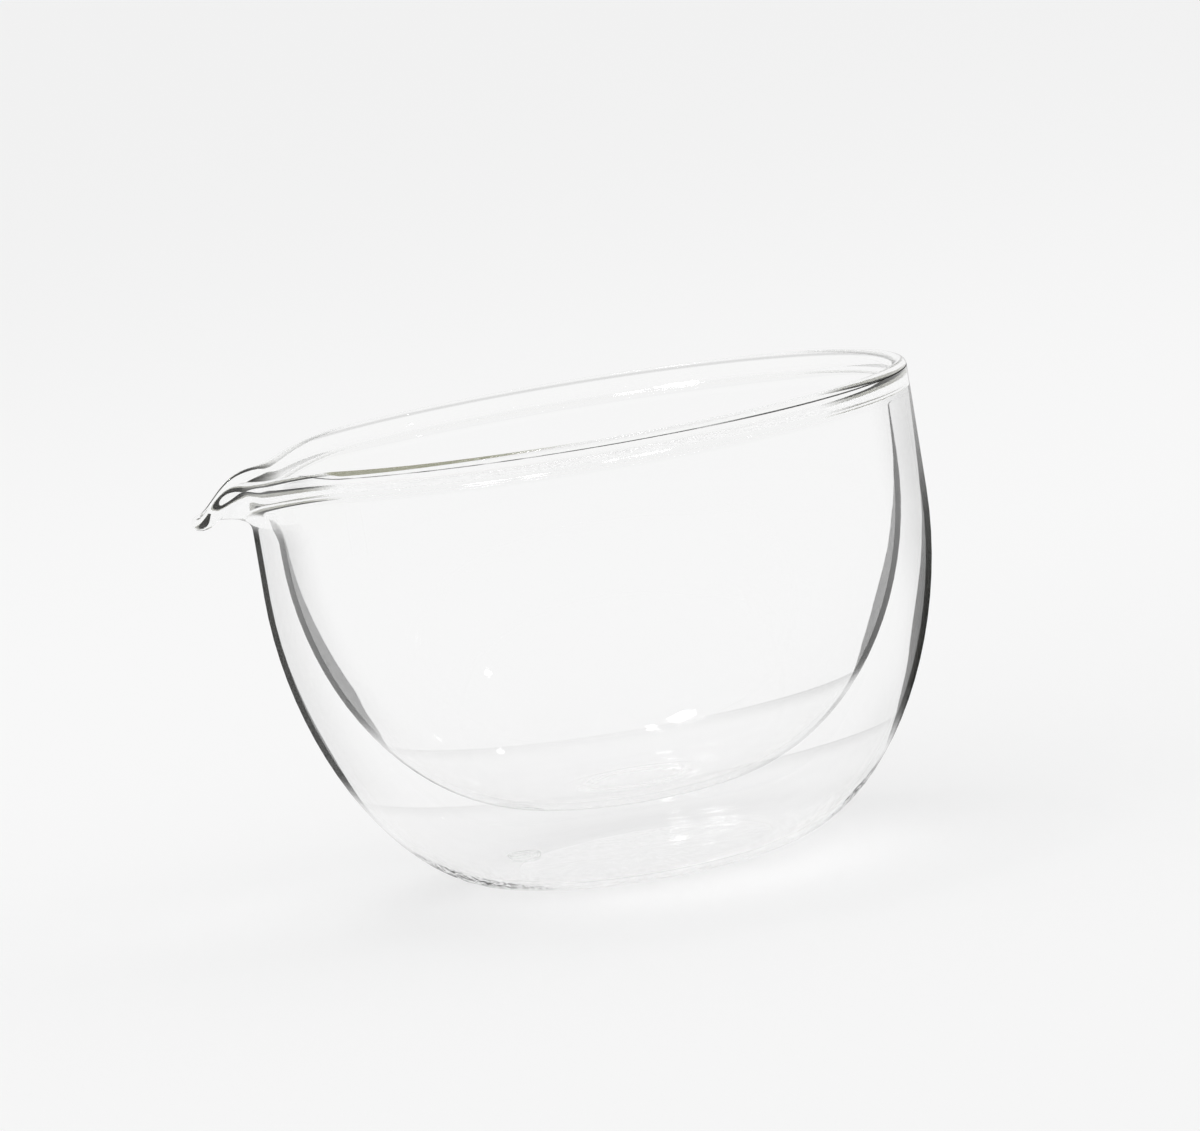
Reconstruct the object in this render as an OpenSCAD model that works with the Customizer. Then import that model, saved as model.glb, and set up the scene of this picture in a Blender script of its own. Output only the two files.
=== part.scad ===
// Double-walled glass matcha bowl with a pulled pouring spout.
// The spout points along -X, the bowl stands on the plane z = 0, and its axis is Z. Millimetres.

/* [Bowl] */
// Diameter over the upright outer wall
bowl_d = 124; // [110:1:140]
// Height from the table to the top of the rim
bowl_h = 85; // [75:1:100]
// Thickness of the glass in both walls
wall = 1.4; // [1.1:0.1:2.0]
// Air gap between the two walls, where they stand upright
wall_gap = 2.9; // [2.4:0.1:4.5]
// Air gap between the two floors
floor_gap = 12; // [6:0.5:16]

/* [Outer shell] */
// Diameter of the flat disc that stands on the table
base_d = 48; // [40:1:56]
// How far the lower curve runs on flat before it rises
base_run = 21; // [16:0.5:26]
// How far the side keeps upright as it turns into the lower curve
side_run = 29.3; // [24:0.5:34]
// Height of the upright stretch, measured down from the rim
upright_h = 24.7; // [18:0.5:30]

/* [Inner bowl] */
// Diameter of its flat floor
floor_d = 30; // [24:1:38]
// How far its lower curve runs on flat before it rises
floor_run = 23.8; // [18:0.5:28]
// How far its side keeps upright as it turns into the lower curve
inner_run = 29.5; // [24:0.5:34]
// Height of its upright stretch, measured down from the rim
inner_upright_h = 16.8; // [16.2:0.1:22]

/* [Rim] */
// Thickness of the rounded lip
lip_t = 2.6; // [2.2:0.1:3.2]
// Depth of solid glass from the lip to the top of the air gap
fused_depth = 4.4; // [4.2:0.1:6]
// Depth of the flare inside the mouth
flare_depth = 6; // [5:0.25:6.5]
// Length of the two walls that belong to the fused band, below the gap's top and the flare
rim_leg = 1; // [0.5:0.25:2]

/* [Spout] */
// How far the tip stands out from the outer wall
spout_reach = 11; // [9:0.5:14]
// How far the lip drops at the tip
spout_drop = 8.1; // [7:0.1:9.6]
// Spread of the spout round the rim, as an angle
spout_spread = 6.5; // [5.5:0.1:7]
// Dip of the rim on both sides of the spout
rim_dip = 2.9; // [0:0.1:3.2]
// Half angle over which the rim dips, all of which belongs to the spout
sector = 45; // [36:1:52]
// Depth of the pouring sill below the rim
sill_depth = 5.8; // [5:0.1:6.6]
// How far the sill's top lies outside the outer wall
sill_out = 0.4; // [0:0.1:2]
// Depth below the rim at which the mouth starts to open towards the spout
throat_depth = 15; // [14:0.25:15.5]
// Depth below the rim at which the spout leaves the outer wall
root_depth = 12; // [11:0.25:15]
// Distance of the highest point of the spout's underside from the outer wall
belly_out = 5.5; // [4.5:0.1:6.5]
// How far the top of the air gap is drawn out under the spout
gap_pull = 2.2; // [1:0.1:2.6]
// How far the air gap's top lies above the middle of the tip's lip there
gap_lift = 0.5; // [0:0.1:0.8]
// Half the width of the air gap's top under the spout
gap_tip_r = 0.8; // [0.6:0.05:1]

/* [Vent] */
// Diameter of the vent hole, which the plug fills
vent_d = 6.4; // [4:0.2:8]
// Distance of the vent from the axis
vent_r = 26.5; // [20:0.5:27]
// Direction of the vent, as an angle from +X
vent_angle = 150; // [120:5:240]
// Thickness of the plug
plug_t = 1.9; // [1.7:0.1:3]
// Clear height of the plug above the table
plug_clear = 0.35; // [0.2:0.05:0.5]
// Chamfer at both ends of the plug
plug_edge = 0.4; // [0.2:0.1:0.6]

/* [Hidden] */
$fn = 96;
glass_tint = [0.82, 0.91, 0.89, 0.45];
silicone_tint = [0.93, 0.95, 0.94];
cut = 1;

// Radii of the four glass faces where the walls stand upright
outer_r = bowl_d / 2;
gap_outer_r = outer_r - wall;
gap_inner_r = gap_outer_r - wall_gap;
mouth_r = gap_inner_r - wall;
inner_z = wall + floor_gap;

// Levels of the rim: lip, top of the air gap, and the band's lower end
lip_r = lip_t / 2;
lip_z = bowl_h - lip_r;
arch_r = wall_gap / 2;
arch_mid_r = gap_inner_r + arch_r;
arch_z = bowl_h - fused_depth - arch_r;
flare_z = bowl_h - flare_depth;
rim_z = min(arch_z, flare_z) - rim_leg;

// Points of the spout's middle section
tip_r = outer_r + spout_reach - lip_r;
tip_z = lip_z - spout_drop;
sill_r = outer_r + sill_out;
sill_z = bowl_h - sill_depth;
belly_r = outer_r + belly_out;
throat_z = bowl_h - throat_depth;
root_z = bowl_h - root_depth;
notch_z = min(throat_z, root_z) - rim_leg;
// Turn of the lip at the tip, on its inner and outer side, and lean of the air gap's top
lip_turn_in = 112;
lip_turn_out = 100;
gap_lean = 25;
// Reach of the curves' handles
handle = lip_t;

// Steps round the spout and along its curves
sector_steps = 44;
curve_steps = 6;
arc_steps = 10;
side_steps = 36;

function mix(a, b, t) = a + (b - a) * t;
function ease(t) = t * t * (3 - 2 * t);
function polar(c, r, a) = [c[0] + r * cos(a), c[1] + r * sin(a)];
function bezier(p, t) = pow(1 - t, 3) * p[0] + 3 * t * pow(1 - t, 2) * p[1]
    + 3 * t * t * (1 - t) * p[2] + pow(t, 3) * p[3];
function bezier_heading(p, t) = let (d = pow(1 - t, 2) * (p[1] - p[0])
    + 2 * t * (1 - t) * (p[2] - p[1]) + t * t * (p[3] - p[2])) d / norm(d);
// A curve without its last point, so that the next stretch can follow on
function curve(p, n) = [for (i = [0 : n - 1]) bezier(p, i / n)];
function reversed(list) = [for (i = [len(list) - 1 : -1 : 0]) list[i]];

// Side of a bowl from the axis to its upright stretch, drawn in by the distance inset
function bowl_side(p, inset) = concat([[0, p[0][1] + inset]],
    [for (i = [0 : side_steps]) let (t = i / side_steps, h = bezier_heading(p, t))
        bezier(p, t) + inset * [-h[1], h[0]]]);
function outer_side(inset) =
    let (flat = base_d / 2, top = bowl_h - upright_h)
    bowl_side([[flat, 0], [flat + base_run, 0], [outer_r, top - side_run], [outer_r, top]], inset);
function inner_side(inset) =
    let (flat = floor_d / 2, top = bowl_h - inner_upright_h)
    bowl_side([[flat, inner_z], [flat + floor_run, inner_z], [gap_inner_r, top - inner_run],
        [gap_inner_r, top]], inset);

// Section of the rim at one place round the bowl, in radius and height.
// b is 0 on the plain rim and 1 at the middle of the spout; dip lowers the lip and what lies below it.
function lip_centre(b, dip) = [mix(outer_r - lip_r, tip_r, b),
    mix(lip_z, tip_z, ease(pow(b, 1.5))) - dip * (1 - b)];
function sag(b, dip) = [0, -dip * pow(1 - b, 3)];
function lip_start(b) = 180 - lip_turn_in * b;
function lip_end(b) = -lip_turn_out * b;
function heading(a) = [sin(a), -cos(a)];

function mouth_curve(b, dip) =
    let (c = lip_centre(b, dip),
        along = mix([0, handle], [handle + 0.6, 0], b),
        middle = mix([mouth_r, flare_z], [sill_r, sill_z], b) + sag(b, dip),
        end = polar(c, lip_r, lip_start(b)))
    concat(
        curve([[mouth_r, throat_z], [mouth_r, throat_z + mix(handle, 2 * handle, b)],
            middle - along, middle], curve_steps),
        curve([middle, middle + along, end - handle * heading(lip_start(b)), end], curve_steps));

function lip_curve(b, dip) = [for (i = [0 : arc_steps - 1])
    polar(lip_centre(b, dip), lip_r, mix(lip_start(b), lip_end(b), i / arc_steps))];

function under_curve(b, dip) =
    let (c = lip_centre(b, dip),
        along = mix([0, -handle], [-handle, 0], b),
        start = polar(c, lip_r, lip_end(b)),
        middle = mix([outer_r, rim_z], [belly_r, tip_z], b) + sag(b, dip),
        root = [outer_r, root_z])
    concat(
        curve([start, start + 0.8 * handle * heading(lip_end(b)), middle - along, middle], curve_steps),
        curve([middle, middle + along, root + [0, 0.8 * handle], root], curve_steps),
        [root]);

function gap_curve(b, dip) =
    let (c = mix([arch_mid_r, arch_z - dip], [arch_mid_r + gap_pull, tip_z + gap_lift], b),
        r = mix(arch_r, gap_tip_r, b),
        tilt = gap_lean * b,
        right = polar(c, r, -tilt),
        left = polar(c, r, 180 - tilt),
        root = [gap_outer_r, root_z],
        throat = [gap_inner_r, throat_z],
        up = [0, 0.5 * handle],
        lean = 0.5 * handle * heading(180 - tilt))
    concat(
        curve([root, root + up, right - lean, right], 2 * curve_steps),
        [for (i = [0 : arc_steps - 1]) polar(c, r, mix(-tilt, 180 - tilt, i / arc_steps))],
        curve([left, left - lean, throat + up, throat], 2 * curve_steps),
        [throat]);

// The two sides of the section, with both legs down to height foot: the glass that is seen,
// from the mouth over the lip to the outer wall, and the air gap, from the outer wall back
function seen_side(b, dip, foot) = concat([[mouth_r, foot]],
    [for (p = concat(mouth_curve(b, dip), lip_curve(b, dip), under_curve(b, dip))) if (p[1] > foot) p],
    [[outer_r, foot]]);
function gap_side(b, dip, foot) = concat([[gap_outer_r, foot]],
    [for (p = gap_curve(b, dip)) if (p[1] > foot) p],
    [[gap_inner_r, foot]]);
function rim_section(b, dip, foot) = concat(seen_side(b, dip, foot), gap_side(b, dip, foot));

function bell(a) = exp(-a * a / (2 * spout_spread * spout_spread));
function dip_at(a) = rim_dip * pow(cos(90 * a / sector), 2);
// Steps lie closer together towards the middle of the spout
function sector_angle(i) = let (u = 2 * i / sector_steps - 1) sector * (0.5 * u + 0.5 * pow(u, 3));

// The wedge that the spout takes out of both walls
module spout_wedge() {
    far = 2 * outer_r;
    side = far * tan(sector);
    translate([0, 0, notch_z])
        linear_extrude(bowl_h)
            polygon([[0, 0], [-far, side], [-far, -side]]);
}

module vent_hole() {
    rotate([0, 0, vent_angle])
        translate([vent_r, 0, -cut])
            cylinder(d = vent_d, h = inner_z);
}

module inner_bowl() {
    color(glass_tint)
        difference() {
            rotate_extrude()
                polygon(concat(inner_side(0), [[gap_inner_r, rim_z], [mouth_r, rim_z]],
                    reversed(inner_side(wall))));
            spout_wedge();
        }
}

module outer_shell() {
    color(glass_tint)
        difference() {
            rotate_extrude()
                polygon(concat(outer_side(0), [[outer_r, rim_z], [gap_outer_r, rim_z]],
                    reversed(outer_side(wall))));
            spout_wedge();
            vent_hole();
        }
}

module rim_seam() {
    color(glass_tint)
        rotate([0, 0, sector - 180])
            rotate_extrude(angle = 360 - 2 * sector)
                polygon(rim_section(0, 0, rim_z));
}

module pour_spout() {
    sections = [for (i = [0 : sector_steps])
        let (a = sector_angle(i)) rim_section(bell(a), dip_at(a), notch_z)];
    count = len(sections[0]);
    points = [for (i = [0 : sector_steps], p = sections[i])
        [-p[0] * cos(sector_angle(i)), -p[0] * sin(sector_angle(i)), p[1]]];
    sides = [for (i = [0 : sector_steps - 1], j = [0 : count - 1])
        let (k = (j + 1) % count)
        each [[i * count + j, i * count + k, (i + 1) * count + k],
            [i * count + j, (i + 1) * count + k, (i + 1) * count + j]]];
    // Each end is a strip between the two sides of its section, which have as many points
    strip = [for (j = [0 : count / 2 - 2])
        each [[j, count - 1 - j, count - 2 - j], [j, count - 2 - j, j + 1]]];
    last = sector_steps * count;
    ends = concat(strip, [for (t = strip) [last + t[0], last + t[2], last + t[1]]]);
    color(glass_tint)
        polyhedron(points, concat(sides, ends));
}

module vent_plug() {
    r = vent_d / 2;
    top = plug_clear + plug_t;
    color(silicone_tint)
        rotate([0, 0, vent_angle])
            translate([vent_r, 0, 0])
                rotate_extrude()
                    polygon([[0, plug_clear], [r - plug_edge, plug_clear], [r, plug_clear + plug_edge],
                        [r, top - plug_edge], [r - plug_edge, top], [0, top]]);
}

inner_bowl();
outer_shell();
rim_seam();
pour_spout();
vent_plug();
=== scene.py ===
import math

import bpy
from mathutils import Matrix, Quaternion, Vector


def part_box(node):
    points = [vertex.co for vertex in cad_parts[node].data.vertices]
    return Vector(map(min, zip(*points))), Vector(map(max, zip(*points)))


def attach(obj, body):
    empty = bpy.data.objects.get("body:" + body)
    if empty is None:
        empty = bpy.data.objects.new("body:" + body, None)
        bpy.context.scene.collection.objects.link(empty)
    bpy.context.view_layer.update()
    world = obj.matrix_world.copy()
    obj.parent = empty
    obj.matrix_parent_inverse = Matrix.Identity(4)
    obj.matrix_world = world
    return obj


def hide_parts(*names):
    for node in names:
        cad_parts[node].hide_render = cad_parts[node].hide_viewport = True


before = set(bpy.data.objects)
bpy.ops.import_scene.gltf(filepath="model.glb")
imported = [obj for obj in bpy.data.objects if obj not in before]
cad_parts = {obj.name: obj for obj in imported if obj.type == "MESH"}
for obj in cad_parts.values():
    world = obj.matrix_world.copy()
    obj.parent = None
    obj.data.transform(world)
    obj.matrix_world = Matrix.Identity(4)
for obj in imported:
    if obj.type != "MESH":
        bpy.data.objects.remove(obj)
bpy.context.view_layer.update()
mm = 0.001
print("frame loaded")

# boxes of the CAD solids, in metres, and the sizes read from them, in millimetres
innerLow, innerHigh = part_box("inner_bowl")
rimLow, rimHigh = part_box("rim_seam")
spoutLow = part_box("pour_spout")[0]
ventLow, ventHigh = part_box("vent_plug")
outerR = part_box("outer_shell")[1][1] / mm
bowlTop = rimHigh[2] / mm
rimZ = rimLow[2] / mm            # the two walls end here and the fused band begins
gapInnerR = innerHigh[0] / mm    # air-gap side of the inner bowl
floorUnder = innerLow[2] / mm
notchZ = spoutLow[2] / mm        # both walls end lower where the spout takes over
tipX = -spoutLow[0] / mm

# sector is half the spout's share of the rim, in degrees; the last two are tolerances in mm
glass = {"wall": 1.4, "sector": 45, "turnSteps": 360, "curveSteps": 10, "wallSteps": 22, "smoothAngle": 40,
         "mergeGap": 0.002, "sameZ": 0.01}
gapOuterR = outerR - glass["wall"]
mouthR = gapInnerR - glass["wall"]
sectorTurn = math.radians(glass["sector"])


# helpers for shapes

def activate(obj):
    bpy.ops.object.select_all(action="DESELECT")
    obj.select_set(True)
    bpy.context.view_layer.objects.active = obj


def straight(a, b):
    return [a, a.lerp(b, 1 / 3), a.lerp(b, 2 / 3), b]


def polar(centre, radius, angle):
    return centre + radius * Vector((math.cos(math.radians(angle)), math.sin(math.radians(angle))))


# direction along an arc at an angle, the way the angle grows
def tangent(angle):
    return polar(Vector((0, 0)), 1, angle + 90)


def arcHalves(centre, radius, start, end):
    halves = []
    middle = (start + end) / 2
    for a, b in ((start, middle), (middle, end)):
        reach = 4 / 3 * math.tan(math.radians(b - a) / 4) * radius
        p, q = polar(centre, radius, a), polar(centre, radius, b)
        halves.append([p, p + reach * tangent(a), q - reach * tangent(b), q])
    return halves


def curvePoint(seg, t):
    u = 1 - t
    return u ** 3 * seg[0] + 3 * t * u * u * seg[1] + 3 * t * t * u * seg[2] + t ** 3 * seg[3]


def curvePoints(segs):
    steps = glass["curveSteps"]
    return [curvePoint(seg, i / steps) for seg in segs for i in range(steps)]


# draws segments of (radius, height) as an upright curve, turned round the bowl's axis, and makes it a mesh
def drawProfile(name, segs, closed, turn=0.0, steps=glass["curveSteps"]):
    bpy.ops.object.select_all(action="DESELECT")
    bpy.ops.curve.primitive_bezier_curve_add()
    obj = bpy.context.object
    obj.name = name
    obj.data.resolution_u = steps
    spline = obj.data.splines[0]
    count = len(segs) + (0 if closed else 1)
    spline.bezier_points.add(count - 2)
    spline.use_cyclic_u = closed
    knots = spline.bezier_points
    out = Vector((math.cos(turn), math.sin(turn), 0))

    def place(p):
        return (p.x * out + p.y * Vector((0, 0, 1))) * mm

    for knot in knots:
        knot.handle_left_type = knot.handle_right_type = "FREE"
    for i, seg in enumerate(segs):
        nextKnot = knots[(i + 1) % count]
        knots[i].co = place(seg[0])
        knots[i].handle_right = place(seg[1])
        nextKnot.handle_left = place(seg[2])
        nextKnot.co = place(seg[3])
    if not closed:
        knots[0].handle_left = knots[0].co
        knots[count - 1].handle_right = knots[count - 1].co
    bpy.ops.object.convert(target="MESH")
    return bpy.context.object


def spinProfile(obj, angle, steps):
    activate(obj)
    bpy.ops.object.mode_set(mode="EDIT")
    bpy.ops.mesh.select_all(action="SELECT")
    bpy.ops.mesh.spin(steps=steps, angle=-angle, center=(0, 0, 0), axis=(0, 0, 1))
    bpy.ops.mesh.select_all(action="SELECT")
    bpy.ops.mesh.remove_doubles(threshold=glass["mergeGap"] * mm)
    bpy.ops.mesh.normals_make_consistent(inside=False)
    bpy.ops.object.mode_set(mode="OBJECT")


def deleteFaces(obj, wanted):
    activate(obj)
    bpy.ops.object.mode_set(mode="EDIT")
    bpy.ops.mesh.select_mode(type="FACE")
    bpy.ops.mesh.select_all(action="DESELECT")
    bpy.ops.object.mode_set(mode="OBJECT")
    for face in obj.data.polygons:
        face.select = wanted(face)
    bpy.ops.object.mode_set(mode="EDIT")
    bpy.ops.mesh.delete(type="FACE")
    bpy.ops.object.mode_set(mode="OBJECT")


def closeEnds(obj):
    activate(obj)
    bpy.ops.object.mode_set(mode="EDIT")
    bpy.ops.mesh.select_mode(type="EDGE")
    bpy.ops.mesh.select_all(action="DESELECT")
    bpy.ops.mesh.select_non_manifold()
    bpy.ops.mesh.fill_holes(sides=0)
    bpy.ops.mesh.select_all(action="SELECT")
    bpy.ops.mesh.normals_make_consistent(inside=False)
    bpy.ops.object.mode_set(mode="OBJECT")


def giveMaterials(obj, *materials):
    for mat in materials:
        obj.data.materials.append(mat)


def finishPiece(obj, node):
    activate(obj)
    bpy.ops.object.shade_smooth_by_angle(angle=math.radians(glass["smoothAngle"]))
    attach(obj, "root")
    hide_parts(node)
    print(node, "made:", len(obj.data.polygons), "faces")


# helpers for materials

def newMaterial(name):
    mat = bpy.data.materials.new(name)
    mat.use_nodes = True
    return mat, mat.node_tree, mat.node_tree.nodes["Principled BSDF"]


def showSurface(tree, shader):
    tree.links.new(shader, tree.nodes["Material Output"].inputs["Surface"])


# the place on the piece, whole and as x, y and z
def objectPlace(tree):
    coord = tree.nodes.new("ShaderNodeTexCoord").outputs["Object"]
    split = tree.nodes.new("ShaderNodeSeparateXYZ")
    tree.links.new(coord, split.inputs["Vector"])
    return coord, split.outputs["X"], split.outputs["Y"], split.outputs["Z"]


def noiseField(tree, coord, scale, distortion=0.0):
    noise = tree.nodes.new("ShaderNodeTexNoise")
    noise.inputs["Scale"].default_value = scale
    noise.inputs["Distortion"].default_value = distortion
    tree.links.new(coord, noise.inputs["Vector"])
    return noise.outputs["Fac"]


def smoothRange(tree, source, low, high):
    step = tree.nodes.new("ShaderNodeMapRange")
    step.interpolation_type = "SMOOTHSTEP"
    step.inputs["From Min"].default_value = low
    step.inputs["From Max"].default_value = high
    tree.links.new(source, step.inputs["Value"])
    return step.outputs["Result"]


# 0 at the first place and 1 at the second, given in mm
def smoothSpan(tree, source, span):
    return smoothRange(tree, source, span[0] * mm, span[1] * mm)


# climbs straight from 0 to the rise over a span, all in mm
def slopeOver(tree, source, span, rise):
    slope = tree.nodes.new("ShaderNodeMapRange")
    slope.inputs["From Min"].default_value = span[0] * mm
    slope.inputs["From Max"].default_value = span[1] * mm
    slope.inputs["To Max"].default_value = rise * mm
    tree.links.new(source, slope.inputs["Value"])
    return slope.outputs["Result"]


# one math node; each side is a number or an output
def math1(tree, operation, first, second=0.0):
    node = tree.nodes.new("ShaderNodeMath")
    node.operation = operation
    for socket, value in zip(node.inputs, (first, second)):
        if isinstance(value, (int, float)):
            socket.default_value = value
        else:
            tree.links.new(value, socket)
    return node.outputs["Value"]


def chain(tree, operation, sources):
    last = sources[0]
    for source in sources[1:]:
        last = math1(tree, operation, last, source)
    return last


def product(tree, *sources):
    return chain(tree, "MULTIPLY", sources)


def total(tree, *sources):
    return chain(tree, "ADD", sources)


def highest(tree, *sources):
    return chain(tree, "MAXIMUM", sources)


def distanceOut(tree, x, y):
    return math1(tree, "SQRT", total(tree, product(tree, x, x), product(tree, y, y)))


def mixShaders(tree, factor, first, second):
    mix = tree.nodes.new("ShaderNodeMixShader")
    tree.links.new(factor, mix.inputs["Fac"])
    tree.links.new(first, mix.inputs[1])
    tree.links.new(second, mix.inputs[2])
    return mix.outputs["Shader"]


def mixValues(tree, factor, first, second):
    mix = tree.nodes.new("ShaderNodeMix")
    for name, value in (("Factor", factor), ("A", first), ("B", second)):
        tree.links.new(value, mix.inputs[name])
    return mix.outputs["Result"]


def clearShader(tree, color):
    clear = tree.nodes.new("ShaderNodeBsdfTransparent")
    clear.inputs["Color"].default_value = color
    return clear.outputs["BSDF"]


# 1 for a ray that has met so many surfaces before, from the first number to the last
def atRays(tree, path, rays):
    met = path.outputs["Ray Depth"]
    return product(tree, math1(tree, "GREATER_THAN", met, rays[0] - 0.5),
                   math1(tree, "LESS_THAN", met, rays[1] + 0.5))


# how edge-on the surface is met, and whether from its front or from inside the glass
def facingAndSide(tree):
    weight = tree.nodes.new("ShaderNodeLayerWeight")
    weight.inputs["Blend"].default_value = 0.5
    back = tree.nodes.new("ShaderNodeNewGeometry").outputs["Backfacing"]
    return weight.outputs["Facing"], math1(tree, "SUBTRACT", 1.0, back), back


# a value that changes with height, from (height in mm, value) pairs whose values are at most top
def alongHeight(tree, z, pairs, top):
    share = tree.nodes.new("ShaderNodeMapRange")
    share.inputs["From Max"].default_value = bowlTop * mm
    tree.links.new(z, share.inputs["Value"])
    ramp = tree.nodes.new("ShaderNodeValToRGB")
    ramp.color_ramp.interpolation = "CARDINAL"
    stops = ramp.color_ramp.elements
    stops.remove(stops[1])
    for i, (height, value) in enumerate(pairs):
        stop = stops[0] if i == 0 else stops.new(height / bowlTop)
        stop.position = height / bowlTop
        stop.color = (value / top,) * 3 + (1,)
    tree.links.new(share.outputs["Result"], ramp.inputs["Fac"])
    return product(tree, ramp.outputs["Color"], float(top))


# blown glass: slow waves in its surface, their depth in metres; rays that are caught in the glass leak out
# after some bounces

blown = {"waveScale": 42.0, "waveDetail": 1.5, "waveDepth": 0.00002, "deepRays": 14}
# colours of the painted light and shade laid over the glass: near-black painted shade and a painted olive
# tint
paintedShadeColor = (0.012, 0.012, 0.009, 1)
paintedOliveColor = (0.24, 0.24, 0.14, 1)
wallGlass = {"color": (1, 1, 1, 1), "ior": 1.47, "roughness": 0.0, "waves": 0.5, "shade": 0.88}
lipGlass = {"color": (0.997, 0.998, 0.995, 1), "ior": 1.47, "roughness": 0.0, "waves": 0.5, "shade": 0.88}


def blownSurfaceGroup():
    group = bpy.data.node_groups.new("blownSurface", "ShaderNodeTree")
    group.interface.new_socket("Strength", in_out="INPUT", socket_type="NodeSocketFloat")
    group.interface.new_socket("Normal", in_out="OUTPUT", socket_type="NodeSocketVector")
    nodes, links = group.nodes, group.links
    inside = nodes.new("NodeGroupInput")
    outside = nodes.new("NodeGroupOutput")
    coord = nodes.new("ShaderNodeTexCoord")
    waves = nodes.new("ShaderNodeTexNoise")
    waves.inputs["Scale"].default_value = blown["waveScale"]
    waves.inputs["Detail"].default_value = blown["waveDetail"]
    bump = nodes.new("ShaderNodeBump")
    bump.inputs["Distance"].default_value = blown["waveDepth"]
    links.new(coord.outputs["Object"], waves.inputs["Vector"])
    links.new(waves.outputs["Fac"], bump.inputs["Height"])
    links.new(inside.outputs["Strength"], bump.inputs["Strength"])
    links.new(bump.outputs["Normal"], outside.inputs["Normal"])
    return group


blownSurface = blownSurfaceGroup()


# each mask from makeMasks lays one colour of painted shade or painted tint over the glass, as a diffuse layer
def glassMaterial(name, look, makeMasks, edge):
    mat, tree, shader = newMaterial(name)
    shader.inputs["Base Color"].default_value = look["color"]
    shader.inputs["Roughness"].default_value = look["roughness"]
    shader.inputs["IOR"].default_value = look["ior"]
    shader.inputs["Transmission Weight"].default_value = 1.0
    surface = tree.nodes.new("ShaderNodeGroup")
    surface.node_tree = blownSurface
    surface.inputs["Strength"].default_value = look["waves"]
    tree.links.new(surface.outputs["Normal"], shader.inputs["Normal"])
    path = tree.nodes.new("ShaderNodeLightPath")
    shown = shader.outputs["BSDF"]
    for mask, color in makeMasks(tree, edge, path):
        dark = tree.nodes.new("ShaderNodeBsdfDiffuse")
        dark.inputs["Color"].default_value = color
        shown = mixShaders(tree, mask, shown, dark.outputs["BSDF"])
    deep = math1(tree, "GREATER_THAN", path.outputs["Ray Depth"], blown["deepRays"])
    shown = mixShaders(tree, deep, shown, clearShader(tree, (1, 1, 1, 1)))
    shadow = clearShader(tree, (look["shade"],) * 3 + (1,))
    showSurface(tree, mixShaders(tree, path.outputs["Is Shadow Ray"], shown, shadow))
    return mat


# walls: painted shade along the wall edges, standing in for light that meets a wall edge on and is guided
# along inside it and lost, so the standing walls are painted dark there; how deep a ray passes under the
# edge, in mm, shows in its angle on the wall's outer face

band = {"blur": 0.08, "edgeRound": 30.0, "sideSpan": (-15, 15), "widest": 4}
# noise breaks the painted shade band into dark patches low on the walls
bandBreaks = {"scale": 420.0, "distortion": 2.5, "gaps": (0.42, 0.58), "fade": 2}    # broken marks low on the walls
# painted refraction of the horizon on the walls: a faint dark ring of painted shade, sharp at its top and
# fading downwards
paintedHorizonLine = {"leftSpan": (-10, -38), "rightSpan": (5, 42), "startSpan": (-0.25, 0.1), "edgeSpan": (0.55, 0.1),
            "edgeShare": 0.6, "fadeShare": 0.5}    # a faint ring that fades downwards
# for the left and the right side in x: (height, width) in mm of the painted shade band, then its darkness and
# painted shade veil by height
innerBand = {"leftWidth": ((10, 0.3), (30, 0.5), (34, 1.5), (40, 2.5), (44.5, 3.1), (60, 2.3), (74, 1.3)),
             "leftDark": ((12, 0.1), (18, 0.25), (24, 0.5), (31, 0.3), (36, 0.8), (42, 0.95), (71, 0.95),
                          (75, 0.35)),
             "leftVeil": ((20, 0), (40, 0.12), (50, 0.15), (62, 0.22), (75, 0.25)),
             "rightWidth": ((10, 0.3), (29, 0.9), (32, 1.3), (36, 2.1), (44, 2.75), (52, 2.3), (60, 1.7),
                            (68, 0.9), (78, 0.35)),
             "rightDark": ((12, 0.1), (21, 0.15), (25, 0.35), (28, 0.25), (31, 0.85), (36, 1), (78, 1)),
             "rightVeil": ((0, 0),),
             "hardWidth": 1.2, "softShare": 0.7, "brightEdge": 0.1, "rays": (1, 2), "veilWidth": 7.0,
             "breaksBelow": 5, "lineZ": 31.0, "lineFade": 4.0,
             "lineLeft": 0.08, "lineMiddle": 0.1, "lineRight": 0.3}
shellBand = {"leftWidth": ((1, 0.4), (3, 1.6), (7, 1.2), (12, 0.35), (20, 0.6), (30, 1.3), (40, 1.3),
                           (50, 1.1), (75, 0.95)),
             "leftDark": ((1, 0), (3, 0.8), (7, 0.7), (11, 0.2), (20, 0.2), (25, 0.8), (30, 0.9), (70, 0.93),
                          (73, 0.9), (75, 0.6)),
             "leftVeil": ((20, 0.1), (40, 0.16), (75, 0.18)),
             "rightWidth": ((1, 0.4), (6, 0.5), (9, 0.8), (13, 0.4), (18, 0.8), (24, 1.5), (32, 2.1),
                            (39, 2.5), (48, 2.05), (56, 1.5), (64, 1.0), (78, 0.5)),
             "rightDark": ((1, 0), (4, 0.25), (8, 0.75), (11, 0.6), (14, 0.2), (16, 0.2), (21, 0.75),
                           (26, 0.92), (56, 0.92), (64, 0.8), (72, 0.65), (80, 0.5)),
             "rightVeil": ((20, 0.12), (32, 0.05), (46, 0.05), (54, 0.2), (62, 0.3), (74, 0.4)),
             "hardWidth": 1.1, "softShare": 0.72, "brightEdge": -1.0, "rays": (0, 0), "veilWidth": 8.0,
             "breaksBelow": 12, "lineZ": 21.5, "lineFade": 4.0,
             "lineLeft": 0.12, "lineMiddle": 0.03, "lineRight": 0.25}


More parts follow.
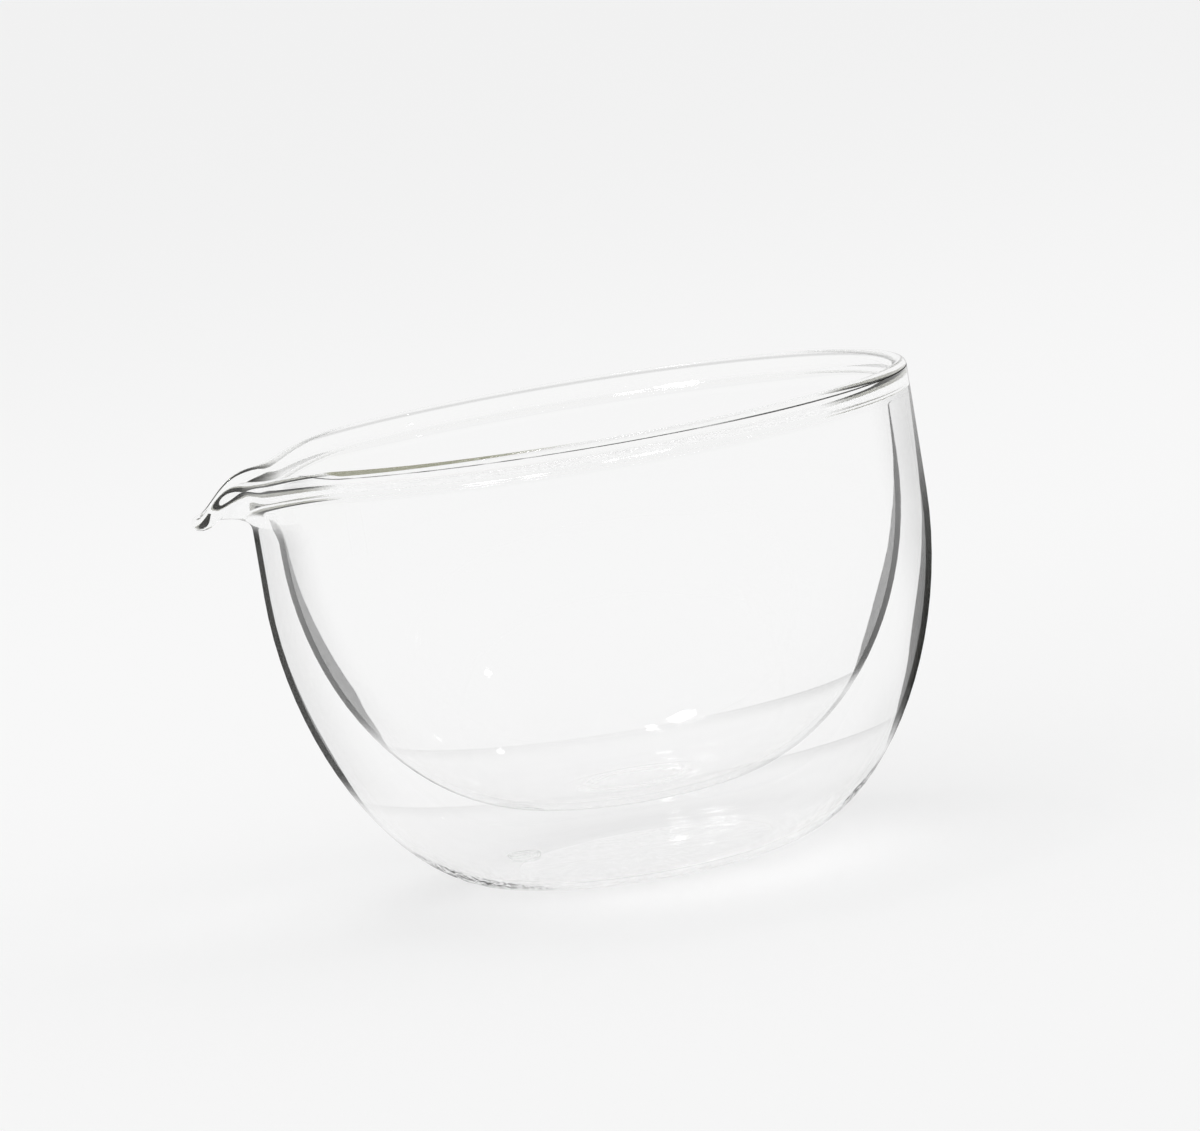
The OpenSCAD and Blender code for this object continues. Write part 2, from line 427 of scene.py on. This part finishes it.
# 1 where the depth under the edge is less than the width
def withinWidth(tree, depth, width):
    step = tree.nodes.new("ShaderNodeMapRange")
    step.interpolation_type = "SMOOTHSTEP"
    step.inputs["To Min"].default_value = 1.0
    step.inputs["To Max"].default_value = 0.0
    for name, shift in (("From Min", -band["blur"]), ("From Max", band["blur"])):
        tree.links.new(math1(tree, "ADD", width, shift), step.inputs[name])
    tree.links.new(depth, step.inputs["Value"])
    return step.outputs["Result"]


# the painted shade band along the wall's edge: a hard outer part, a softer inner one and a thin painted shade
# veil beyond
def bandMask(tree, look, coord, x, z, facing):
    side = smoothSpan(tree, x, band["sideSpan"])

    def bothSides(name, top):
        left = alongHeight(tree, z, look["left" + name], top)
        right = alongHeight(tree, z, look["right" + name], top)
        return mixValues(tree, side, left, right)

    width = bothSides("Width", band["widest"])
    square = math1(tree, "SUBTRACT", 1.0, facing)
    depth = product(tree, square, square, band["edgeRound"])
    hard = withinWidth(tree, depth, math1(tree, "MINIMUM", look["hardWidth"], width))
    soft = product(tree, withinWidth(tree, depth, width), look["softShare"])
    veil = product(tree, smoothRange(tree, depth, look["veilWidth"], 0.0), bothSides("Veil", 1))
    # low on the walls the painted shade band shows only in noise patches
    breakPatches = smoothRange(tree, noiseField(tree, coord, bandBreaks["scale"], bandBreaks["distortion"]), *bandBreaks["gaps"])
    unbroken = highest(tree, breakPatches, smoothSpan(tree, z, (look["breaksBelow"] - bandBreaks["fade"], look["breaksBelow"])))
    past = smoothRange(tree, depth, look["brightEdge"] - band["blur"], look["brightEdge"] + band["blur"])
    return product(tree, highest(tree, hard, soft, veil), past, bothSides("Dark", 1), unbroken)


# painted shade: a dark ring at lineZ that fades downwards, stronger on the right
def paintedHorizonMask(tree, look, x, z):
    below = math1(tree, "SUBTRACT", look["lineZ"] * mm, z)
    strength = total(tree, product(tree, smoothSpan(tree, x, paintedHorizonLine["leftSpan"]), look["lineLeft"]),
                     product(tree, smoothSpan(tree, x, paintedHorizonLine["rightSpan"]), look["lineRight"]),
                     look["lineMiddle"])
    edge = product(tree, smoothSpan(tree, below, paintedHorizonLine["edgeSpan"]), paintedHorizonLine["edgeShare"])
    fade = smoothSpan(tree, below, (look["lineFade"], 0))
    fading = highest(tree, edge, product(tree, fade, fade, paintedHorizonLine["fadeShare"]))
    return product(tree, smoothSpan(tree, below, paintedHorizonLine["startSpan"]), fading, strength)


# painted shade on the walls: the edge band and the painted horizon ring, laid on as a near-black diffuse
# layer
def wallMasks(tree, look, path):
    coord, x, _, z = objectPlace(tree)
    facing, front, _ = facingAndSide(tree)
    edges = highest(tree, bandMask(tree, look, coord, x, z, facing), paintedHorizonMask(tree, look, x, z))
    return [(product(tree, edges, front, atRays(tree, path, look["rays"])), paintedShadeColor)]


# lip, all painted light and shade: a fine ring line and a thin outline of painted shade, a painted olive tint
# along the top where the glass is seen lengthwise, and painted dark ends left and right, standing in for
# light that is guided round inside it; all places in mm

# painted shade: a fine dark ring line round the lip's outside, bold on the right, and a soft grey ring on its
# inside
lipRing = {"z": 83.8, "half": 0.07, "dark": 0.9, "rise": 0.8, "riseSpan": (-43, -52), "boldSpan": (12, 34),
           "fineEdge": (1.6, 0.6), "boldEdge": (2.2, 1.4), "outside": (1.1, 0.7), "inside": (1.5, 1.9),
           "softZ": 84.35, "softEdge": (0.4, 0.05), "softDark": 0.22,
           "breakScale": 120.0, "breaks": (0.2, 0.6)}
# painted shade: a thin dark outline where the lip is met edge on
lipOutline = {"facing": (0.9, 0.96), "dark": 0.3}
# painted olive refraction along the near lip's top, where the glass is seen lengthwise
paintedLipOlive = {"span": (-46.5, 4), "z": 84.15, "rise": 0.75, "edge": 0.1, "dark": 0.78, "startLength": 2,
            "bluntLength": 4, "bluntRise": 0.6, "endLength": 22, "nearSpan": (5, -5)}
# painted shade: black ends of the rim and spout, for light guided round inside the lip, with a painted olive
# fringe
lipEnds = {"span": (42, 50), "dark": 0.95, "farShare": 0.2, "nearSpan": (12, -18), "spoutSpan": (-56, -62),
           "gapTop": (76.5, 77.5), "gapReach": (64, 66), "from": 0.262, "rimTo": 0.34, "spoutTo": 0.42,
           "fringeTo": 0.5, "fringeDark": 0.65, "fadeIn": 0.01, "fadeOut": 0.02}
lipLines = {"rays": (0, 1), "ring": lipRing, "outline": lipOutline, "olive": paintedLipOlive, "ends": lipEnds}


# painted shade rings on the lip, one outside and one inside
def lipRingMask(tree, look, coord, x, y, z):
    breaks = smoothRange(tree, noiseField(tree, coord, look["breakScale"]), *look["breaks"])
    rise = product(tree, smoothSpan(tree, x, look["riseSpan"]), look["rise"] * mm)
    above = math1(tree, "SUBTRACT", math1(tree, "SUBTRACT", z, look["z"] * mm), rise)
    off = math1(tree, "ABSOLUTE", above)

    def lineOf(edge):
        return smoothSpan(tree, off, [share * look["half"] for share in edge])

    fine = product(tree, lineOf(look["fineEdge"]), breaks)
    bold = product(tree, lineOf(look["boldEdge"]), smoothSpan(tree, x, look["boldSpan"]))
    reach = distanceOut(tree, x, y)
    outside, inside = (smoothSpan(tree, reach, [outerR - depth for depth in look[name]])
                       for name in ("outside", "inside"))
    ring = product(tree, highest(tree, fine, bold), look["dark"], outside)
    fromSoft = math1(tree, "ABSOLUTE", math1(tree, "SUBTRACT", z, look["softZ"] * mm))
    soft = product(tree, smoothSpan(tree, fromSoft, look["softEdge"]), inside, look["softDark"])
    return highest(tree, ring, soft)


# a painted olive refraction: a wedge along the near lip's top, blunt at its left end and fading out to the
# right
def paintedLipOliveMask(tree, look, x, y, z):
    start, end = look["span"]
    blunt = product(tree, smoothSpan(tree, x, (start + look["bluntLength"], start)), look["bluntRise"] * mm)
    lowest = total(tree, slopeOver(tree, x, look["span"], look["rise"]), blunt, look["z"] * mm)
    over = math1(tree, "SUBTRACT", z, lowest)
    return product(tree, smoothSpan(tree, over, (0, look["edge"])),
                   smoothSpan(tree, x, (start, start + look["startLength"])),
                   smoothSpan(tree, x, (end, end - look["endLength"])),
                   smoothSpan(tree, y, look["nearSpan"]), look["dark"])


# painted shade, seen from inside the glass between two angles: black on the rim's ends and the spout, with a
# painted olive fringe
def lipEndMasks(tree, look, x, y, z, facing):
    ends = smoothSpan(tree, math1(tree, "ABSOLUTE", x), look["span"])
    onSpout = smoothSpan(tree, x, look["spoutSpan"])
    near = total(tree, product(tree, smoothSpan(tree, y, look["nearSpan"]), 1 - look["farShare"]),
                 look["farShare"])
    aboveGap = highest(tree, smoothSpan(tree, z, look["gapTop"]),
                       smoothSpan(tree, distanceOut(tree, x, y), look["gapReach"]))
    place = product(tree, highest(tree, near, onSpout), ends, aboveGap)

    def guided(widest):
        return product(tree, smoothRange(tree, facing, look["from"], look["from"] + look["fadeIn"]),
                       smoothRange(tree, facing, widest, widest - look["fadeOut"]), place)

    black = highest(tree, guided(look["rimTo"]), product(tree, guided(look["spoutTo"]), onSpout))
    return (product(tree, black, look["dark"]),
            product(tree, guided(look["fringeTo"]), look["fringeDark"]))


# the lip's painted light and shade: a painted olive tint and fringe, then painted shade lines, outline and
# black ends
def lipMasks(tree, look, path):
    coord, x, y, z = objectPlace(tree)
    facing, front, back = facingAndSide(tree)
    shallow = atRays(tree, path, look["rays"])
    ring = lipRingMask(tree, look["ring"], coord, x, y, z)
    # painted shade outline at grazing angles
    outline = product(tree, smoothRange(tree, facing, *look["outline"]["facing"]), look["outline"]["dark"])
    olive = paintedLipOliveMask(tree, look["olive"], x, y, z)
    black, fringe = lipEndMasks(tree, look["ends"], x, y, z, facing)
    # painted olive tint and olive fringe
    paintedTint = highest(tree, product(tree, olive, front), product(tree, fringe, back))
    lines = highest(tree, product(tree, highest(tree, ring, outline), front), product(tree, black, back))
    return [(product(tree, paintedTint, shallow), paintedOliveColor), (product(tree, lines, shallow), paintedShadeColor)]


# the faces where fused pieces meet: no glass surface there, so they show nothing
def fusedMaterial():
    mat, _, shader = newMaterial("fusedJoin")
    shader.inputs["Alpha"].default_value = 0.0
    return mat


innerMat = glassMaterial("innerGlass", wallGlass, wallMasks, innerBand)
shellMat = glassMaterial("shellGlass", wallGlass, wallMasks, shellBand)
lipMat = glassMaterial("lipGlass", lipGlass, lipMasks, lipLines)
fusedMat = fusedMaterial()
print("glass mixed")


# inner bowl and outer shell: a profile is spun, the spout's wedge cut out, and the wall given its thickness

innerShape = {"floorR": 15.0, "floorRun": 23.8, "sideRun": 29.5, "uprightZ": bowlTop - 16.8}
shellShape = {"floorR": 24.0, "floorRun": 21.0, "sideRun": 29.3, "uprightZ": bowlTop - 24.7}
floorRing = {"radius": 9.35, "width": 0.9, "height": 0.3, "widths": 4}
vent = {"sides": 64, "edge": 0.4, "edgeSteps": 4, "clearance": 0.02, "drillDepth": 10}
ventR = (ventHigh[0] - ventLow[0]) / 2
ventCentre = [(a + b) / 2 for a, b in zip(ventLow, ventHigh)]


def wallSegments(shape, radius, low):
    floorEnd = Vector((shape["floorR"], low))
    upright = Vector((radius, shape["uprightZ"]))
    notch = Vector((radius, notchZ))
    top = Vector((radius, rimZ))
    bend = [floorEnd, floorEnd + Vector((shape["floorRun"], 0)),
            upright - Vector((0, shape["sideRun"])), upright]
    return [straight(Vector((0, low)), floorEnd), bend, straight(upright, notch), straight(notch, top)]


def inSpoutWedge(face):
    x, y, z = face.center
    return z > notchZ * mm and math.atan2(abs(y), -x) < sectorTurn


def makeWall(name, shape, radius, low, mat):
    obj = drawProfile(name, wallSegments(shape, radius, low), closed=False, steps=glass["wallSteps"])
    spinProfile(obj, math.tau, glass["turnSteps"])
    deleteFaces(obj, inSpoutWedge)
    giveMaterials(obj, mat, fusedMat)
    activate(obj)
    thick = obj.modifiers.new("wallThickness", "SOLIDIFY")
    thick.thickness = glass["wall"] * mm
    thick.offset = -1
    thick.use_even_offset = True
    thick.material_offset_rim = 1
    bpy.ops.object.modifier_apply(modifier=thick.name)
    return obj


# a low ring on the inside of the floor
def raiseFloorRing(obj):
    top = (floorUnder + glass["wall"]) * mm
    for vert in obj.data.vertices:
        away = (math.hypot(vert.co.x, vert.co.y) / mm - floorRing["radius"]) / floorRing["width"]
        if abs(vert.co.z - top) < glass["sameZ"] * mm and abs(away) < floorRing["widths"]:
            vert.co.z += floorRing["height"] * mm * math.exp(-away * away)


def cutVentHole(obj):
    bpy.ops.object.select_all(action="DESELECT")
    bpy.ops.mesh.primitive_cylinder_add(vertices=vent["sides"], radius=ventR + vent["clearance"] * mm,
                                        depth=vent["drillDepth"] * mm, location=(*ventCentre[:2], 0))
    drill = bpy.context.object
    activate(obj)
    cut = obj.modifiers.new("ventHole", "BOOLEAN")
    cut.operation = "DIFFERENCE"
    cut.object = drill
    bpy.ops.object.modifier_apply(modifier=cut.name)
    activate(drill)
    bpy.ops.object.delete()


innerBowl = makeWall("innerBowl", innerShape, gapInnerR, floorUnder, innerMat)
raiseFloorRing(innerBowl)
finishPiece(innerBowl, "inner_bowl")
outerShell = makeWall("outerShell", shellShape, outerR, 0.0, shellMat)
cutVentHole(outerShell)
finishPiece(outerShell, "outer_shell")


# rim and spout: a closed section over the air gap's top; legs below legTop look like the walls they stand on;
# lengths in mm, and spread, gapLean, turnIn and turnOut in degrees

rim = {"lipR": 1.3, "flareZ": bowlTop - 6, "archR": (gapOuterR - gapInnerR) / 2, "fused": 4.4,
       "bendReach": 2.6, "legTop": 80.2, "flatFoot": -0.99}
spout = {"drop": 8.1, "spread": 6.5, "dip": 2.9, "sillOut": 0.4, "sillDepth": 5.8, "sillReach": 3.2,
         "throatDepth": 15.0, "rootDepth": 12.0, "bellyOut": 5.5, "bellyReach": 2.08, "gapPull": 2.2,
         "gapLift": 0.5, "gapTipR": 0.8, "gapLean": 25, "gapReach": 1.3, "turnIn": 112, "turnOut": 100,
         "legTop": 74.6, "columns": 360}

lipPlain = Vector((outerR - rim["lipR"], bowlTop - rim["lipR"]))
lipTip = Vector((tipX - rim["lipR"], lipPlain.y - spout["drop"]))
archPlain = Vector((gapInnerR + rim["archR"], bowlTop - rim["fused"] - rim["archR"]))
archSpout = Vector((archPlain.x + spout["gapPull"], lipTip.y + spout["gapLift"]))


# the four corners of both legs' feet: mouth, outside, and the two sides of the air gap
def feet(z):
    return [Vector((r, z)) for r in (mouthR, outerR, gapOuterR, gapInnerR)]


def rimSegments():
    foot = feet(rimZ)
    flare = Vector((mouthR, rim["flareZ"]))
    up = Vector((0, rim["bendReach"]))
    lipIn = polar(lipPlain, rim["lipR"], 180)
    lipOut = polar(lipPlain, rim["lipR"], 0)
    archOut = polar(archPlain, rim["archR"], 0)
    archIn = polar(archPlain, rim["archR"], 180)
    return ([straight(foot[0], flare), [flare, flare + up, lipIn - up, lipIn]]
            + arcHalves(lipPlain, rim["lipR"], 180, 0)
            + [straight(lipOut, foot[1]), straight(foot[1], foot[2]), straight(foot[2], archOut)]
            + arcHalves(archPlain, rim["archR"], 0, 180)
            + [straight(archIn, foot[3]), straight(foot[3], foot[0])])


# share is 0 on the plain rim and 1 at the middle of the spout
def spoutSegments(share, dip):
    bend = rim["bendReach"]
    up = Vector((0, 1))
    foot = feet(notchZ)
    throat = Vector((mouthR, bowlTop - spout["throatDepth"]))
    gapThroat = Vector((gapInnerR, throat.y))
    root = Vector((outerR, bowlTop - spout["rootDepth"]))
    gapRoot = Vector((gapOuterR, root.y))
    fall = share ** 3 * (3 - 2 * share ** 1.5)
    centre = Vector((lipPlain.x + (lipTip.x - lipPlain.x) * share,
                     lipPlain.y + (lipTip.y - lipPlain.y) * fall - dip * (1 - share)))
    sag = Vector((0, dip * (1 - share) ** 3))
    turnIn, turnOut = 180 - spout["turnIn"] * share, -spout["turnOut"] * share
    lipIn, lipOut = polar(centre, rim["lipR"], turnIn), polar(centre, rim["lipR"], turnOut)
    sillSpout = Vector((outerR + spout["sillOut"], bowlTop - spout["sillDepth"]))
    sill = Vector((mouthR, rim["flareZ"])).lerp(sillSpout, share) - sag
    sillAlong = Vector((0, bend)).lerp(Vector((spout["sillReach"], 0)), share)
    belly = Vector((outerR, rimZ)).lerp(Vector((outerR + spout["bellyOut"], lipTip.y)), share) - sag
    bellyAlong = Vector((0, -bend)).lerp(Vector((-bend, 0)), share)
    arch = (archPlain - Vector((0, dip))).lerp(archSpout, share)
    archR = rim["archR"] + (spout["gapTipR"] - rim["archR"]) * share
    lean = spout["gapLean"] * share
    archOut, archIn = polar(arch, archR, -lean), polar(arch, archR, 180 - lean)
    archAlong = spout["gapReach"] * tangent(-lean)
    return ([straight(foot[0], throat),
             [throat, throat + (1 + share) * bend * up, sill - sillAlong, sill],
             [sill, sill + sillAlong, lipIn + bend * tangent(turnIn), lipIn]]
            + arcHalves(centre, rim["lipR"], turnIn, turnOut)
            + [[lipOut, lipOut - spout["bellyReach"] * tangent(turnOut), belly - bellyAlong, belly],
               [belly, belly + bellyAlong, root + spout["bellyReach"] * up, root],
               straight(root, foot[1]), straight(foot[1], foot[2]), straight(foot[2], gapRoot),
               [gapRoot, gapRoot + spout["gapReach"] * up, archOut - archAlong, archOut]]
            + arcHalves(arch, archR, -lean, 180 - lean)
            + [[archIn, archIn - archAlong, gapThroat + spout["gapReach"] * up, gapThroat],
               straight(gapThroat, foot[3]), straight(foot[3], foot[0])])


# the flat feet and the two ends lie against fused neighbours and show nothing; the legs look like the walls
def finishFused(obj, node, footZ, legTop):
    giveMaterials(obj, lipMat, fusedMat, innerMat, shellMat)
    for face in obj.data.polygons:
        atFoot = face.normal.z < rim["flatFoot"] and abs(face.center.z - footZ * mm) < glass["sameZ"] * mm
        atEnd = len(face.vertices) > 4
        inner = math.hypot(face.center.x, face.center.y) < archPlain.x * mm
        if atFoot or atEnd:
            face.material_index = 1
        elif face.center.z < legTop * mm:
            face.material_index = 2 if inner else 3
    finishPiece(obj, node)


# the plain section is spun across the sector, and each column is then pulled out into the spout
def pullSpout(obj):
    plain = curvePoints(spoutSegments(0, 0))
    columns = {}
    for vert in obj.data.vertices:
        angle = math.degrees(math.atan2(vert.co.y, -vert.co.x))
        key = round(angle * spout["columns"] / (2 * glass["sector"]))
        if key not in columns:
            share = math.exp(-angle ** 2 / (2 * spout["spread"] ** 2))
            dip = spout["dip"] * math.cos(math.radians(90 * angle / glass["sector"])) ** 2
            columns[key] = curvePoints(spoutSegments(share, dip))
        here = Vector((math.hypot(vert.co.x, vert.co.y), vert.co.z)) / mm
        nearest = min(range(len(plain)), key=lambda i: (plain[i] - here).length_squared)
        to = columns[key][nearest] * mm
        radial = Vector((vert.co.x, vert.co.y, 0)).normalized()
        vert.co = to.x * radial + Vector((0, 0, to.y))


rimSeam = drawProfile("rimSeam", rimSegments(), closed=True, turn=math.pi + sectorTurn)
spinProfile(rimSeam, math.tau - 2 * sectorTurn, glass["turnSteps"] - 2 * glass["sector"])
closeEnds(rimSeam)
finishFused(rimSeam, "rim_seam", rimZ, rim["legTop"])

pourSpout = drawProfile("pourSpout", spoutSegments(0, 0), closed=True, turn=math.pi - sectorTurn)
spinProfile(pourSpout, 2 * sectorTurn, spout["columns"])
pullSpout(pourSpout)
closeEnds(pourSpout)
finishFused(pourSpout, "pour_spout", notchZ, spout["legTop"])


# vent plug: cast silicone, slightly cloudy, between glossy and satin, with a fine moulded grain whose depth
# is in metres

silicone = {"clearColor": (0.985, 0.99, 0.985, 1), "cloudColor": (0.9, 0.92, 0.905, 1), "ior": 1.41,
            "cloudScale": 650.0, "glossy": 0.05, "satin": 0.16, "grainScale": 2600.0, "grainDepth": 0.000006}


def siliconeMaterial():
    mat, tree, shader = newMaterial("ventSilicone")
    shader.inputs["IOR"].default_value = silicone["ior"]
    shader.inputs["Transmission Weight"].default_value = 1.0
    coord = tree.nodes.new("ShaderNodeTexCoord").outputs["Object"]
    cloud = noiseField(tree, coord, silicone["cloudScale"])
    tone = tree.nodes.new("ShaderNodeValToRGB")
    tone.color_ramp.elements[0].color = silicone["clearColor"]
    tone.color_ramp.elements[1].color = silicone["cloudColor"]
    tree.links.new(cloud, tone.inputs["Fac"])
    tree.links.new(tone.outputs["Color"], shader.inputs["Base Color"])
    gloss = tree.nodes.new("ShaderNodeMapRange")
    gloss.inputs["To Min"].default_value = silicone["glossy"]
    gloss.inputs["To Max"].default_value = silicone["satin"]
    tree.links.new(cloud, gloss.inputs["Value"])
    tree.links.new(gloss.outputs["Result"], shader.inputs["Roughness"])
    grain = tree.nodes.new("ShaderNodeBump")
    grain.inputs["Distance"].default_value = silicone["grainDepth"]
    tree.links.new(noiseField(tree, coord, silicone["grainScale"]), grain.inputs["Height"])
    tree.links.new(grain.outputs["Normal"], shader.inputs["Normal"])
    return mat


def makeVentPlug():
    bpy.ops.object.select_all(action="DESELECT")
    bpy.ops.mesh.primitive_cylinder_add(vertices=vent["sides"], radius=ventR, depth=ventHigh[2] - ventLow[2],
                                        location=ventCentre)
    obj = bpy.context.object
    obj.name = "ventPlug"
    bpy.ops.object.transform_apply(location=True, rotation=True, scale=True)
    bevel = obj.modifiers.new("softEdge", "BEVEL")
    bevel.width = vent["edge"] * mm
    bevel.segments = vent["edgeSteps"]
    bevel.limit_method = "ANGLE"
    bpy.ops.object.modifier_apply(modifier=bevel.name)
    giveMaterials(obj, siliconeMaterial())
    finishPiece(obj, "vent_plug")


makeVentPlug()


# stage: pale floor, a dark flag, soft lamps and a pale surround

stage = {"floorColor": (0.86, 0.86, 0.86, 1), "floorRoughness": 0.9, "floorSpecular": 0.1, "floorGlow": 1.0,
         "glowShare": 0.55, "floorSize": 40.0, "worldColor": (1, 1, 1, 1), "worldStrength": 0.85,
         "backStrength": 0.9}
# the flag lies behind the bowl's right side, and only the first mirrored rays see it; size in metres,
# reach in mm from the bowl's axis, turns in degrees round it
flag = {"size": 0.5, "lift": 0.0005, "color": (0.02, 0.02, 0.02, 1), "roughness": 1.0, "rays": (0, 1),
        "nearReach": (70, 110), "farReach": (490, 130), "turnLow": (14, 56), "turnHigh": (88, 64)}
# place and size in metres, power in watts
lamps = {"keySoftbox": {"place": (1.2, -0.22, 1.36), "size": (0.05, 0.07), "power": 1.2},
         "topSoftbox": {"place": (-0.32, 0.5, 1.4), "size": (0.15, 0.12), "power": 2},
         "backSoftbox": {"place": (-0.14, 0.62, 1.4), "size": (0.05, 0.16), "power": 0.8}}
lampAim = Vector((0, 0, 0.05))


# 1 for rays that show the background: the camera's own, and those that glass mirrors or lets through
def seesBackground(tree):
    path = tree.nodes.new("ShaderNodeLightPath")
    return highest(tree, *(path.outputs[name] for name in
                           ("Is Camera Ray", "Is Glossy Ray", "Is Transmission Ray")))


def makeFloor():
    bpy.ops.object.select_all(action="DESELECT")
    bpy.ops.mesh.primitive_plane_add(size=stage["floorSize"])
    floor = bpy.context.object
    floor.name = "floor"
    mat, tree, shader = newMaterial("paleFloor")
    shader.inputs["Base Color"].default_value = stage["floorColor"]
    shader.inputs["Roughness"].default_value = stage["floorRoughness"]
    shader.inputs["Specular IOR Level"].default_value = stage["floorSpecular"]
    glow = tree.nodes.new("ShaderNodeEmission")
    glow.inputs["Strength"].default_value = stage["floorGlow"]
    share = product(tree, seesBackground(tree), stage["glowShare"])
    showSurface(tree, mixShaders(tree, share, shader.outputs["BSDF"], glow.outputs["Emission"]))
    giveMaterials(floor, mat)


def makeFlag():
    half = flag["size"] / 2
    bpy.ops.object.select_all(action="DESELECT")
    bpy.ops.mesh.primitive_plane_add(size=flag["size"], location=(half, half, flag["lift"]))
    obj = bpy.context.object
    obj.name = "floorFlag"
    bpy.ops.object.transform_apply(location=True, rotation=True, scale=True)
    mat, tree, shader = newMaterial("darkFlag")
    shader.inputs["Base Color"].default_value = flag["color"]
    shader.inputs["Roughness"].default_value = flag["roughness"]
    _, x, y, _ = objectPlace(tree)
    reach = distanceOut(tree, x, y)
    turn = math1(tree, "ARCTAN2", y, x)
    low, high = (smoothRange(tree, turn, *(math.radians(angle) for angle in flag[name]))
                 for name in ("turnLow", "turnHigh"))
    path = tree.nodes.new("ShaderNodeLightPath")
    share = product(tree, low, high, smoothSpan(tree, reach, flag["nearReach"]),
                    smoothSpan(tree, reach, flag["farReach"]), atRays(tree, path, flag["rays"]))
    showSurface(tree, mixShaders(tree, share, clearShader(tree, (1, 1, 1, 1)), shader.outputs["BSDF"]))
    giveMaterials(obj, mat)
    obj.visible_camera = obj.visible_diffuse = obj.visible_transmission = obj.visible_shadow = False


def addLamp(name, lamp):
    light = bpy.data.lights.new(name, "AREA")
    light.shape = "RECTANGLE"
    light.size, light.size_y = lamp["size"]
    light.energy = lamp["power"]
    obj = bpy.data.objects.new(name, light)
    bpy.context.collection.objects.link(obj)
    obj.location = lamp["place"]
    obj.rotation_euler = (lampAim - obj.location).to_track_quat("-Z", "Y").to_euler()


def makeWorld():
    world = bpy.data.worlds.new("paleSurround")
    bpy.context.scene.world = world
    world.use_nodes = True
    tree = world.node_tree
    background = tree.nodes["Background"]
    background.inputs["Color"].default_value = stage["worldColor"]
    strength = tree.nodes.new("ShaderNodeMix")
    strength.inputs["A"].default_value = stage["worldStrength"]
    strength.inputs["B"].default_value = stage["backStrength"]
    tree.links.new(seesBackground(tree), strength.inputs["Factor"])
    tree.links.new(strength.outputs["Result"], background.inputs["Strength"])


makeFloor()
makeFlag()
for lampName, lampValues in lamps.items():
    addLamp(lampName, lampValues)
makeWorld()
print("stage set")


# camera: the photograph's view, rolled so that the bowl leans as it does there; lengths in mm, but clipEnd
# in metres

view = {"distance": 1400, "elevation": 7.24, "aimZ": 42.5, "roll": 9.36, "pixelsPerMm": 5.4, "clipEnd": 100,
        "imageWidth": 1200, "imageHeight": 1131, "centreX": 610.6, "centreY": 635.2, "sensor": 36.0}
bounces = {"all": 32, "through": 32, "mirrored": 16, "clear": 32}    # many, for glass behind glass


def makeCamera():
    data = bpy.data.cameras.new("photoCamera")
    camera = bpy.data.objects.new("photoCamera", data)
    bpy.context.collection.objects.link(camera)
    focalPixels = view["pixelsPerMm"] * view["distance"]
    data.sensor_width = view["sensor"]
    data.lens = focalPixels * view["sensor"] / view["imageWidth"]
    data.clip_end = view["clipEnd"]
    rise = math.radians(view["elevation"])
    aim = Vector((0, 0, view["aimZ"] * mm))
    camera.location = aim + view["distance"] * mm * Vector((0, -math.cos(rise), math.sin(rise)))
    look = (aim - camera.location).to_track_quat("-Z", "Y")
    roll = Quaternion((0, 0, 1), math.radians(-view["roll"]))
    right = (view["centreX"] - view["imageWidth"] / 2) / focalPixels
    below = (view["centreY"] - view["imageHeight"] / 2) / focalPixels
    offset = Quaternion((1, 0, 0), below) @ Quaternion((0, 1, 0), right)
    camera.rotation_mode = "QUATERNION"
    camera.rotation_quaternion = look @ roll @ offset
    bpy.context.scene.camera = camera


makeCamera()
scene = bpy.context.scene
scene.view_settings.view_transform = "Standard"
scene.cycles.max_bounces = bounces["all"]
scene.cycles.transmission_bounces = bounces["through"]
scene.cycles.glossy_bounces = bounces["mirrored"]
scene.cycles.transparent_max_bounces = bounces["clear"]
print("camera set")
